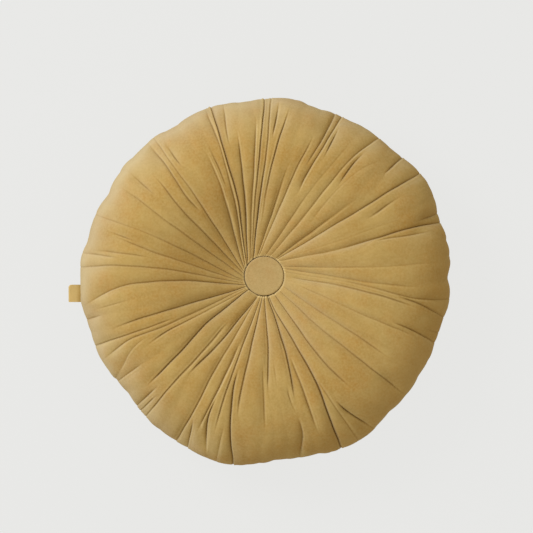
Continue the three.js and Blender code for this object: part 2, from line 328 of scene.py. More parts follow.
def round_values(table, degrees):
    """A table's second column at angles in degrees, going smoothly round the circle."""
    knots = [row[0] + turn for turn in (-360, 0, 360) for row in table]
    values = [row[1] for row in table] * 3
    return smooth_line(knots, values, degrees % 360.0)


def fold_angle(fold, radius):
    """A fold's angle in radians at each radius: a smooth, nearly straight line in plan."""
    stations = np.array(STATIONS[::-1])
    angles = np.radians([fold.core, fold.inside, fold.middle, fold.edge, fold.rim])
    heading = angles[2]
    along = stations * np.cos(angles - heading)
    aside = stations * np.sin(angles - heading)
    fine = np.linspace(2.0, 206.0, 400)
    fine_aside = smooth_line(along, aside, fine)
    fine_radius = np.hypot(fine, fine_aside)
    return heading + np.interp(radius, fine_radius, np.arctan2(fine_aside, fine))


def fold_depth(fold, extent):
    """How deep a fold is at each extent, with soft ends."""
    depth = fold.inner + (fold.outer - fold.inner) * ease(70.0, 150.0, extent)
    ends = 1.0 - ease(fold.end - 22.0, fold.end + 6.0, extent)
    if fold.start > 0:
        ends = ends * ease(fold.start - 8.0, fold.start + 10.0, extent)
    return depth * ends


def uneven(place, seed):
    """A share from 0 to 1 for each place, without a pattern but the same each time."""
    return np.sin((place + 1) * seed * 7.31) * 431.7 % 1.0


def next_paths(paths):
    """Each fold's next neighbour counter-clockwise, by row."""
    after = np.roll(paths, -1, axis=1)
    after[:, -1] += 2 * np.pi
    return after


def previous_paths(paths):
    """Each fold's next neighbour clockwise, by row."""
    before = np.roll(paths, 1, axis=1)
    before[:, 0] -= 2 * np.pi
    return before


def relaxed(paths, fixed):
    """Paths that run on smoothly where they aren't fixed, and drift to between those beside them."""
    for _ in range(RELAXING_STEPS):
        above = np.vstack([paths[:1], paths[:-1]])
        below = np.vstack([paths[1:], paths[-1:]])
        beside = (next_paths(paths) + previous_paths(paths)) / 2
        mean = (above + below) / 2 * (1 - SIDE_DRIFT) + beside * SIDE_DRIFT
        paths = np.where(fixed, paths, mean)
    return paths


def spaced(paths, radius):
    """Paths pushed apart where they lie closer than the least gap."""
    least = np.minimum(LEAST_GAP_SHARE * 2 * np.pi / paths.shape[1], LEAST_GAP / radius)[:, None]
    for _ in range(SPACING_STEPS):
        short = np.maximum(least - (next_paths(paths) - paths), 0.0) / 2
        paths = paths - short + np.roll(short, 1, axis=1)
    return paths


def wobble(paths, rows):
    """Small uneven bends of the folds along their length, in radians."""
    place = np.arange(paths.shape[1])
    along = rows["length"][:, None]
    bend = np.sin(along / 12.0 + place * 2.1) + 0.5 * np.sin(along / 5.1 + place * 4.3)
    return FOLD_WOBBLE * bend * ease(24.0, 60.0, rows["radius"])[:, None] / rows["radius"][:, None]


def column_counts(paths, radius):
    """How many columns run from each front fold to the next: more where they lie far apart."""
    row = int(np.argmin(np.abs(radius - 150.0)))
    gaps = (next_paths(paths) - paths)[row] * radius[row]
    wanted = 4.0 + gaps / 1.6
    pairs = np.maximum(2, np.round(wanted * FRONT_COLUMNS / wanted.sum() / 2)).astype(int)
    pairs[np.argmax(pairs)] += FRONT_COLUMNS // 2 - pairs.sum()
    return 2 * pairs


def column_angles(paths, radius, counts, finest):
    """The columns' angles by row. They lie close by the folds, where their step is finest."""
    gaps = next_paths(paths) - paths
    parts = []
    for place, count in enumerate(counts):
        share = np.arange(count) / count
        width = gaps[:, place]
        pull = np.clip(1 - finest * count / (width * radius), 0.0, 0.85)[:, None]
        share = share - pull * np.sin(2 * np.pi * share) / (2 * np.pi)
        parts.append(paths[:, place, None] + width[:, None] * share)
    return np.concatenate(parts, axis=1)


class Face:
    """One side of the cushion: its rows, and its folds' paths and depths by row."""

    def __init__(self, rows, extent, paths, depths, lips, tones):
        self.rows = rows
        self.lips = lips
        self.extent = extent
        self.paths = paths
        self.depths = depths
        self.tones = tones

    def some_rows(self, chosen):
        """The same face with only the chosen rows."""
        rows = {name: values[chosen] for name, values in self.rows.items()}
        return Face(
            rows, self.extent[chosen], self.paths[chosen], self.depths[chosen], self.lips,
            self.tones[chosen],
        )

    def surface(self, angles, walls):
        """The points at the angles, and each one's painted shade: above 0 in folds and along the seam,
        below 0 painted highlights on ridges and painted light round the button.
        """
        radius = self.rows["radius"][:, None]
        drop = np.zeros_like(angles)
        painted_shade_and_highlight = np.zeros_like(angles)
        rise = np.zeros_like(angles)
        painted_ridge_highlight = np.zeros_like(angles)
        lip_size = lip_scale(radius)
        for place in range(self.paths.shape[1]):
            depth = self.depths[:, place, None]
            aside = around(angles - self.paths[:, place, None]) * radius
            away = np.abs(aside)
            weight = depth / DEEPEST
            clock, counter = self.lips[place]
            skew = 1.0 - SKEW * (counter - clock) * np.sign(aside)
            profile = 0.0
            for wall in walls:
                width = (wall.width + wall.widening * depth) * skew
                profile = profile + wall.share * weight ** wall.power * np.exp(-away / width)
            drop += (depth * profile) ** FOLD_JOINING
            # Painted shade down the fold's crease
            line = np.minimum(weight * CREASE_SHADE, 1.0) * np.exp(-away / (CREASE_WIDTH * lip_size))
            painted_shade_and_highlight = np.maximum(painted_shade_and_highlight, line)
            roll = clock * np.exp(-((aside / lip_size + LIP_PLACE) / LIP_WIDTH) ** 2)
            roll += counter * np.exp(-((aside / lip_size - LIP_PLACE) / LIP_WIDTH) ** 2)
            roll *= np.minimum(depth / LIP_FULL_DEPTH, 1.0)
            rise = np.maximum(rise, LIP_RISE * lip_size * roll * ease(*RISING, radius))
            # The rolled edges also get a painted highlight
            painted_ridge_highlight = np.maximum(painted_ridge_highlight, roll)
        seam = self.rows["seam"][:, None]
        drop = drop ** (1 / FOLD_JOINING) - rise + dents(angles, radius, self.extent[:, None])
        drop += puckers(angles, seam)
        # Painted shade along the seam's groove
        painted_shade_and_highlight = np.maximum(painted_shade_and_highlight, SEAM_SHADE * np.exp(-seam / SEAM_LINE))
        # Painted light on the cloth's lip round the button
        painted_shade_and_highlight = painted_shade_and_highlight + HUB_PAINTED_LIGHT * (1 - ease(*HUB_LINE, radius))
        growing = ease(*OUTLINE_GROWTH, self.extent)[:, None]
        reach = (round_values(OUTLINE, np.degrees(angles)) - WIDEST) * growing
        radius = radius + reach - self.rows["out_radial"][:, None] * drop
        height = self.rows["height"][:, None] - self.rows["out_up"][:, None] * drop
        points = np.stack([radius * np.cos(angles), radius * np.sin(angles), height], axis=-1)
        return points, painted_shade_and_highlight - painted_ridge_highlight * np.exp(-4.0 * painted_shade_and_highlight)


def dents(angles, radius, extent):
    """Shallow unevenness of the filling, more of it towards the rim, in millimetres."""
    across = radius * np.cos(angles)
    up = radius * np.sin(angles)
    waves = np.zeros_like(across)
    for place in range(DENT_WAVES):
        heading = place * 2.4
        length = 9.0 + 2.6 * place
        side = across * np.cos(heading) + up * np.sin(heading)
        other = up * np.cos(heading) - across * np.sin(heading)
        waves += np.sin(side * 2 * np.pi / (3 * length) + 2.2 * np.sin(other / (1.7 * length) + place))
    return DENT_DEPTH * waves / DENT_WAVES * ease(30.0, 150.0, extent)


def puckers(angles, away):
    """Small dents that the rim seam's stitches pull in the cloth beside it, in millimetres."""
    turn = angles * PUCKERS + 1.6 * np.sin(angles * 7) + 0.9 * np.sin(angles * 16)
    share = (0.5 - 0.5 * np.sin(turn)) ** 3 * (0.6 + 0.4 * np.sin(angles * 5 + 1.0))
    return PUCKER_DEPTH * share * ease(0.0, 1.5, away) * np.exp(-(away / PUCKER_REACH) ** 2)


def lip_scale(radius):
    """The size of the rolled edges, smaller towards the middle where the folds lie close."""
    return np.clip(radius / LIP_FULL_RADIUS, LIP_LEAST_SIZE, 1.0)


def around(angle):
    """An angle brought into the half turn on each side of 0."""
    return (angle + np.pi) % (2 * np.pi) - np.pi


def make_front():
    """The front, with the folds of the table."""
    rows = section_rows(FRONT_SECTION, FRONT_ROWS, FRONT_CLOSER, "last")
    widest = int(np.argmax(rows["radius"]))
    past = rows["length"] - rows["length"][widest]
    extent = np.where(past > 0, rows["radius"][widest] + past, rows["radius"])
    paths = np.array([fold_angle(fold, rows["radius"]) for fold in FOLDS]).T
    depths = np.array([fold_depth(fold, extent) for fold in FOLDS]).T
    radius = rows["radius"][:, None]
    paths = relaxed(paths, depths > 0.2) + wobble(paths, rows)
    lean = np.array([fold.counter - fold.clock for fold in FOLDS]) * LIP_LEAN * lip_scale(radius)
    gather_x, gather_y = GATHER_CENTRE
    aside = gather_y * np.cos(paths) - gather_x * np.sin(paths)
    paths = spaced(paths + (lean + aside) / radius, rows["radius"])
    press = ease(0.0, 28.0, extent) * (1.0 - 0.5 * ease(176.0, 206.0, extent))
    lips = np.array([(fold.clock, fold.counter) for fold in FOLDS])
    share = ease(*TONE_CHANGE, extent)[:, None]
    place = np.arange(len(FOLDS))
    tones = TONE_SPREAD * (uneven(place, NEAR_SEED) - 0.5) * (1 - share)
    tones = tones + TONE_SPREAD * (uneven(place, FAR_SEED) - 0.5) * share
    tones += HUB_TONE * (1 - ease(30.0, 60.0, extent))[:, None]
    tones += CREST_TONE * (ease(70.0, 95.0, extent) - ease(140.0, 165.0, extent))[:, None]
    return Face(rows, extent, paths, depths * press[:, None], lips, spread_tones(tones, depths))


def spread_tones(tones, depths):
    """The nap's tone by row and strip, the same across folds where they aren't there."""
    count = depths.shape[1]
    for place in list(range(1, count)) + [0]:
        absent = depths[:, place] < LEAST_DEPTH
        tones[absent, place] = tones[absent, place - 1]
    open_after = np.clip(1.0 - np.roll(depths, -1, axis=1) / LEAST_DEPTH, 0.0, 1.0)
    open_before = np.clip(1.0 - depths / LEAST_DEPTH, 0.0, 1.0)
    for _ in range(TONE_STEPS):
        above = np.vstack([tones[:1], tones[:-1]])
        below = np.vstack([tones[1:], tones[-1:]])
        sides = open_after * (np.roll(tones, -1, axis=1) - tones)
        sides += open_before * (np.roll(tones, 1, axis=1) - tones)
        tones = tones + (above + below - 2 * tones) / 4 + sides / 4
    return tones


# An end beyond the rim, for gathers that run all the way
NO_END = 400.0


def make_back(seam_paths):
    """The back, with plain gathers that start at the front's paths and even out inwards."""
    rows = section_rows(BACK_SECTION, BACK_ROWS, seam="first")
    extent = rows["radius"]
    count = len(seam_paths)
    place = np.arange(count)
    even = np.mean(seam_paths - place * 2 * np.pi / count) + place * 2 * np.pi / count
    evened = 1.0 - ease(90.0, 185.0, extent)[:, None]
    sway = np.sin(place * 2.4) * np.sin(extent[:, None] / 31.0 + place * 1.7)
    paths = seam_paths + (even - seam_paths) * evened + 0.012 * sway * evened
    kind = np.floor(3 * uneven(place, 12.9)).astype(int)
    nearest = np.where(kind == 1, 150.0, 95.0) + 14.0 * np.sin(place * 5.1)
    inner_end = np.where(kind == 0, NO_END, nearest)
    depths = 6.5 - 4.0 * uneven(place, 7.3) - 0.6 * kind
    depths = depths * (1.0 - ease(inner_end - 12, inner_end + 8, extent[:, None]))
    pressed = 1.0 - 0.7 * (1.0 - ease(0.0, 9.0, rows["height"]))
    press = ease(0.0, 40.0, extent) * pressed
    rise = 8.0 + 30.0 * uneven(place, 4.1)
    depths = depths * press[:, None] * ease(0.0, rise, rows["seam"][:, None])
    paths = spaced(paths, rows["radius"])
    paths[0] = seam_paths
    turned = np.round(uneven(place, 9.7))
    lips = 0.5 * np.stack([turned, 1 - turned], axis=1)
    tones = np.tile(uneven(place, 5.3) - 0.5, (len(extent), 1))
    return Face(rows, extent, paths, depths, lips, spread_tones(tones, depths))


def ring_faces(first, second, count):
    """Quads between two rings of count points that start at the indices first and second."""
    here = np.arange(count)
    after = (here + 1) % count
    return np.stack([first + here, second + here, second + after, first + after], axis=1)


def fan_faces(middle, ring, count, outwards):
    """Triangles from a middle point to a ring."""
    here = np.arange(count)
    after = (here + 1) % count
    pair = (here, after) if outwards else (after, here)
    return np.stack([np.full(count, middle), ring + pair[0], ring + pair[1]], axis=1)


def halving_faces(fine, coarse, count):
    """Triangles from a ring with twice count points to one with count points."""
    here = np.arange(count)
    after = (here + 1) % count
    left = fine + 2 * here
    between = left + 1
    right = fine + 2 * after
    return np.concatenate([
        np.stack([left, coarse + here, between], axis=1),
        np.stack([between, coarse + here, coarse + after], axis=1),
        np.stack([between, coarse + after, right], axis=1),
    ])


def new_piece(name, points, faces, centre):
    """A mesh object from points in millimetres about the cushion's middle."""
    mesh = bpy.data.meshes.new(name)
    placed = (np.asarray(points, float) + np.array([*centre, 0.0])) * MM
    mesh.from_pydata(placed.tolist(), [], [list(face) for group in faces for face in group])
    mesh.update()
    mesh.polygons.foreach_set("use_smooth", [True] * len(mesh.polygons))
    piece = bpy.data.objects.new(name, mesh)
    bpy.context.scene.collection.objects.link(piece)
    return piece


def closed_faces(front_rows, back_rows, columns, halved):
    """The faces of a closed body from the front's rows, the back's further rows and two ends."""
    back_columns = columns // 2 if halved else columns
    front_count = front_rows * columns
    faces = []
    for row in range(front_rows - 1):
        faces.append(ring_faces(row * columns, (row + 1) * columns, columns))
    if halved:
        faces.append(halving_faces(front_count - columns, front_count, back_columns))
    else:
        faces.append(ring_faces(front_count - columns, front_count, columns))
    for row in range(back_rows - 1):
        first = front_count + row * back_columns
        faces.append(ring_faces(first, first + back_columns, back_columns))
    total = front_count + back_rows * back_columns
    faces.append(fan_faces(total, 0, columns, True))
    faces.append(fan_faces(total + 1, total - back_columns, back_columns, False))
    return faces


def closed_points(front, back):
    """The points of both faces and of a middle point at each end."""
    ends = [[0, 0, front[0, :, 2].mean()], [0, 0, back[-1, :, 2].mean()]]
    return np.concatenate([front.reshape(-1, 3), back.reshape(-1, 3), ends])


def run_cloth(points, faces, held):
    """Fills a closed cloth with pressure while its held points stay, and returns its points."""
    cloth_piece = new_piece("cloth", points, faces, (0, 0))
    group = cloth_piece.vertex_groups.new(name="held")
    for tenths in range(1, 11):
        members = np.flatnonzero(np.round(held * 10) == tenths)
        group.add(members.tolist(), tenths / 10, "REPLACE")
    modifier = cloth_piece.modifiers.new("cloth", "CLOTH")
    settings = modifier.settings
    settings.quality = 5
    settings.mass = 0.3
    settings.tension_stiffness = 1
    settings.compression_stiffness = 1
    settings.shear_stiffness = 1
    settings.bending_stiffness = 0.05
    settings.use_pressure = True
    settings.uniform_pressure_force = CLOTH_PRESSURE
    settings.vertex_group_mass = "held"
    settings.effector_weights.gravity = 0.0
    modifier.collision_settings.use_collision = False
    modifier.point_cache.frame_start = 1
    modifier.point_cache.frame_end = CLOTH_FRAMES
    scene = bpy.context.scene
    for frame_number in range(1, CLOTH_FRAMES + 1):
        scene.frame_set(frame_number)
    result = cloth_piece.evaluated_get(bpy.context.evaluated_depsgraph_get()).to_mesh()
    moved = np.empty(len(points) * 3)
    result.vertices.foreach_get("co", moved)
    scene.frame_set(1)
    bpy.data.objects.remove(cloth_piece)
    return moved.reshape(-1, 3) / MM


def capped(travel):
    """Moves in millimetres, none of them longer than the cloth may travel."""
    length = np.linalg.norm(travel, axis=-1, keepdims=True)
    return travel / np.maximum(1.0, length / CLOTH_TRAVEL)


def held_points(face, counts, columns):
    """How firmly each point is held, at the folds' bottoms, under the buttons and on the floor."""
    held = np.zeros((len(face.extent), columns))
    starts = np.concatenate([[0], np.cumsum(counts)[:-1]])
    held[:, starts] = np.clip(face.depths / FIRM_DEPTH, 0.0, 1.0)
    held[face.rows["radius"] < 24.0] = 1.0
    held[face.rows["height"] < 1.0] = 1.0
    return held


def spread_moves(moves, chosen, coarse_angles, face, angles):
    """The cloth's moves carried over to every row and column of a face."""
    by_row = smooth_line(face.rows["length"][chosen], moves, face.rows["length"])
    turn = 2 * np.pi
    out = np.empty(angles.shape + (3,))
    for row in range(len(angles)):
        knots = coarse_angles[row]
        knots = np.concatenate([knots[-3:] - turn, knots, knots[:3] + turn])
        values = np.concatenate([by_row[row, -3:], by_row[row], by_row[row, :3]])
        out[row] = smooth_line(knots, values, angles[row])
    return out


def filled_moves(front, back, counts, front_angles, back_angles):
    """How far the filling moves each point of the front and of the back."""
    coarse_counts = np.maximum(2, counts // CLOTH_COLUMN_STEP)
    finest = FINEST_STEP * CLOTH_COLUMN_STEP
    sides = []
    for face in (front, back):
        last = len(face.extent) - 1
        chosen = np.unique(np.append(np.arange(0, last + 1, CLOTH_ROW_STEP), last))
        angles = column_angles(face.paths, face.rows["radius"], coarse_counts, finest)
        coarse = face.some_rows(chosen)
        points, _ = coarse.surface(angles[chosen], [SHOULDER, HOLLOW])
        held = held_points(coarse, coarse_counts, angles.shape[1])
        sides.append((face, chosen, angles, points, held))
    front_points, back_points = sides[0][3], sides[1][3][1:]
    front_held, back_held = sides[0][4], sides[1][4][1:]
    front_held[-1] = 1.0
    points = closed_points(front_points, back_points)
    held = np.concatenate([front_held.ravel(), back_held.ravel(), [1.0, 1.0]])
    faces = closed_faces(len(front_points), len(back_points), front_points.shape[1], False)
    travel = capped(run_cloth(points, faces, held) - points)
    front_travel = travel[:front_held.size].reshape(front_points.shape)
    back_travel = travel[front_held.size:-2].reshape(back_points.shape)
    back_travel = np.concatenate([front_travel[-1:], back_travel])
    front_moves = spread_moves(front_travel, sides[0][1], sides[0][2], front, front_angles)
    back_moves = spread_moves(back_travel, sides[1][1], sides[1][2], back, back_angles)
    return front_moves, back_moves


def make_cushion(centre):
    """The filled cushion: its mesh, and the painted shade and highlights, tone and grain that its velvet
    reads.
    """
    front = make_front()
    back = make_back(front.paths[-1])
    counts = column_counts(front.paths, front.rows["radius"])
    front_angles = column_angles(front.paths, front.rows["radius"], counts, FINEST_STEP)
    back_angles = column_angles(back.paths, back.rows["radius"], counts // 2, FINEST_STEP * 2)
    front_points, front_shade_and_highlight = front.surface(front_angles, [SLIT, SHOULDER, HOLLOW])
    back_points, back_shade_and_highlight = back.surface(back_angles, [SLIT, SHOULDER, HOLLOW])
    front_moves, back_moves = filled_moves(front, back, counts, front_angles, back_angles)
    front_points = front_points + front_moves
    back_points = back_points + back_moves
    back_points[..., 2] = np.maximum(back_points[..., 2], 0.0)
    back_points, back_shade_and_highlight = back_points[1:], back_shade_and_highlight[1:]
    points = closed_points(front_points, back_points)
    faces = closed_faces(len(front_points), len(back_points), FRONT_COLUMNS, True)
    cushion = new_piece("cushion_body", points, faces, centre)
    # Painted shade in creases and by the seam, painted highlights on ridges and painted light round the
    # button
    depth = np.concatenate([front_shade_and_highlight.ravel(), back_shade_and_highlight.ravel(), [0, 0]])
    attribute = cushion.data.attributes.new("painted_shade_and_highlight", "FLOAT", "POINT")
    attribute.data.foreach_set("value", depth.astype(np.float32))
    tones = [
        np.repeat(front.tones, counts, axis=1).ravel(),
        np.repeat(back.tones, counts // 2, axis=1)[1:].ravel(),
        [0, 0],
    ]
    attribute = cushion.data.attributes.new("tone", "FLOAT", "POINT")
    attribute.data.foreach_set("value", np.concatenate(tones).astype(np.float32))
    grain = closed_points(grain_places(front, FRONT_COLUMNS), grain_places(back, FRONT_COLUMNS // 2)[1:])
    attribute = cushion.data.attributes.new("grain", "FLOAT_VECTOR", "POINT")
    attribute.data.foreach_set("vector", grain.astype(np.float32).ravel())
    return cushion


def grain_places(face, columns):
    """Places in metres for the nap's streaks, drawn out along the folds."""
    turn = np.arange(columns) * 2 * np.pi / columns + np.zeros((len(face.extent), 1))
    along = (face.rows["length"] * MM / STREAK_STRETCH)[:, None] + np.zeros(columns)
    return np.stack([STREAK_RADIUS * np.cos(turn), STREAK_RADIUS * np.sin(turn), along], axis=-1)


BUTTON_SECTION = [
    Section(0, 0), Section(0.55, 0), Section(0.86, 0.17), Section(0.98, 0.36), Section(1, 0.55),
    Section(0.999, 0.91), Section(0.995, 0.955), Section(0.98, 0.972), Section(0.8, 0.98),
    Section(0.4, 0.995), Section(0, 1),
]
BUTTON_COLUMNS = 96
BUTTON_ROWS = 40


def make_button(name, node, centre):
    """A domed button with the CAD button's size and place. Its dome points away from the cushion."""
    low, high = (np.array(corner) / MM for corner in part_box(node))
    size = high - low
    section = [Section(row.radius * size[0] / 2, row.height * size[2]) for row in BUTTON_SECTION]
    rows = section_rows(section, BUTTON_ROWS)
    inner = slice(1, BUTTON_ROWS - 1)
    angles = np.arange(BUTTON_COLUMNS) * 2 * np.pi / BUTTON_COLUMNS
    radius = rows["radius"][inner, None] + np.zeros(BUTTON_COLUMNS)
    height = rows["height"][inner, None] + np.zeros(BUTTON_COLUMNS)
    points = np.stack([radius * np.cos(angles), radius * np.sin(angles), height], axis=-1)
    count = points.shape[0]
    faces = [
        ring_faces((row + 1) * BUTTON_COLUMNS, row * BUTTON_COLUMNS, BUTTON_COLUMNS)
        for row in range(count - 1)
    ]
    faces.append(fan_faces(count * BUTTON_COLUMNS, 0, BUTTON_COLUMNS, False))
    faces.append(
        fan_faces(count * BUTTON_COLUMNS + 1, (count - 1) * BUTTON_COLUMNS, BUTTON_COLUMNS, True)
    )
    points = np.concatenate([points.reshape(-1, 3), [[0, 0, 0], [0, 0, size[2]]]])
    if node == "button_back":
        points = points * [1, -1, -1] + [0, 0, high[2]]
    else:
        points = points + [0, 0, low[2]]
    return new_piece(name, points, faces, centre)


# The tab: a strip folded in two, its fold outside and its ends at the seam. TAB_CUT is how long
# it is when laid flat.
TAB_WIDTH = 19.0
TAB_REACH = 16.1
TAB_CLOTH = 1.1
TAB_HALF_GAP = 0.8
TAB_FAR_CORNER = 3.2
TAB_NEAR_CORNER = 0.8
TAB_CURL = 1.1
TAB_RIPPLE = 0.25
# Painted shadow at the strip's root beside the rim and how pale the rest is, with TAB_ROOT where one
# gives way
TAB_SHADE = 0.15
TAB_PALENESS = 0.8
TAB_ROOT = (3.6, 8.6)
TAB_COLUMNS = 24
TAB_ROWS = 60


def corner_retreat(distance, radius):
    """How far a rounded corner draws back an edge at a distance from the corner's side."""
    short = np.clip(radius - distance, 0.0, radius)
    return radius - np.sqrt(radius ** 2 - short ** 2)


def make_tab():
    """The folded strip, from its end at the seam round its outer fold and back."""
    low, high = (np.array(corner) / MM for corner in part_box("tab"))
    height = (low[2] + high[2]) / 2
    across = TAB_WIDTH * (1 - np.cos(np.linspace(0, np.pi, TAB_COLUMNS))) / 2
    retreat = corner_retreat(TAB_WIDTH - across, TAB_FAR_CORNER)
    retreat += corner_retreat(across, TAB_NEAR_CORNER)
    flat_length = TAB_REACH - TAB_HALF_GAP
    fold_length = np.pi * TAB_HALF_GAP
    at = np.linspace(0, 2 * flat_length + fold_length, TAB_ROWS)
    turn = np.clip((at - flat_length) / TAB_HALF_GAP, 0, np.pi)
    out = np.where(at < flat_length, at, 2 * flat_length + fold_length - at)
    out = np.where((turn > 0) & (turn < np.pi), flat_length + TAB_HALF_GAP * np.sin(turn), out)
    up = -TAB_HALF_GAP * np.cos(turn)
    sides = []
    shades = []
    for side in (1, -1):
        side_out = out + side * TAB_CLOTH / 2 * np.sin(turn)
        side_up = up - side * TAB_CLOTH / 2 * np.cos(turn)
        reach = side_out[:, None] * (1 - retreat / TAB_REACH)
        curl = TAB_CURL * (reach / TAB_REACH) ** 2 * (0.5 - across / TAB_WIDTH)
        ripple = TAB_RIPPLE * np.sin(across / 3.1) * np.sin(reach / 4.3)
        points = np.stack([
            low[0] + TAB_REACH + TAB_CLOTH / 2 - reach,
            low[1] + across + np.zeros_like(reach),
            height + side_up[:, None] - curl + ripple,
        ], axis=-1)
        sides.append(points)
        # Painted shadow at the root, paler beyond it
        shades.append(TAB_SHADE - (TAB_SHADE + TAB_PALENESS) * ease(*TAB_ROOT, reach))
    count = TAB_ROWS * TAB_COLUMNS
    index = np.arange(count).reshape(TAB_ROWS, TAB_COLUMNS)
    outer = np.stack([index[:-1, :-1], index[1:, :-1], index[1:, 1:], index[:-1, 1:]], -1)
    border = np.concatenate([index[0], index[1:, -1], index[-1, -2::-1], index[-2:0:-1, 0]])
    after = np.roll(border, -1)
    faces = [
        outer.reshape(-1, 4),
        outer.reshape(-1, 4)[:, ::-1] + count,
        np.stack([border, after, after + count, border + count], -1),
    ]
    points = np.concatenate([side.reshape(-1, 3) for side in sides])
    strip = new_piece("tab_strip", points, faces, (0, 0))
    shade = np.concatenate([part.ravel() for part in shades])
    attribute = strip.data.attributes.new("painted_shade_and_highlight", "FLOAT", "POINT")
    attribute.data.foreach_set("value", shade.astype(np.float32))
    return strip


def linear(red, green, blue):
    """A colour given as sRGB shares from 0 to 255, as linear light."""
    shares = np.array([red, green, blue]) / 255.0
    return (*np.where(shares <= 0.04045, shares / 12.92, ((shares + 0.055) / 1.055) ** 2.4), 1.0)


# The nap's streaks: the radius at which they are round, in metres, and how far they are drawn out
STREAK_RADIUS = 0.12
STREAK_STRETCH = 6.0

# The velvet's colours, as sRGB shares from 0 to 255
COTTON = (160, 121, 57)
# A pale tint, all over the button, and the painted sheen on steep cloth facing the key light
PALE_TINT_AND_SHEEN = (196, 186, 158)
# Painted shade on cloth turned away from the key light
PAINTED_SHADE_SIDE = (136, 99, 35)
# Paler strips of the nap, and the painted highlights on ridges and round the button, and the tab's pale
# part
PALE_TONE_AND_HIGHLIGHT = (204, 178, 120)
DARK = (120, 84, 26)
# Painted shade in the creases, along the seam and at the tab's root
PAINTED_CREASE_SHADE = (105, 70, 5)

# What mottles the velvet: noise, how much of its colour it mixes in at the most between the
# noise's low and high value, and whether it is drawn out along the folds
Layer = namedtuple("Layer", "scale detail distortion low high most colour drawn_out")
MOTTLING = [
    Layer(28, 3, 0.4, 0.35, 0.65, 1.0, (169, 140, 80), False),
    Layer(110, 3, 0.3, 0.35, 0.65, 0.4, (151, 126, 67), False),
    Layer(170, 3, 0.5, 0.35, 0.65, 0.35, (141, 110, 53), True),
    Layer(420, 3, 0.0, 0.3, 0.7, 0.45, (178, 150, 94), False),
]
PILE_SCALE = 1400

# Painted sheen: steep cloth which faces this way, towards the key light, is painted paler, and cloth
# turned away from it darker
PAINTED_LIGHT_DIRECTION = (-0.87, 0.5, 0.0)
PAINTED_LIGHT_RANGE = (-0.35, 0.75)
PAINTED_SHEEN_SLOPE = (1.0, 0.55)
PAINTED_SHEEN_MOST = 0.4


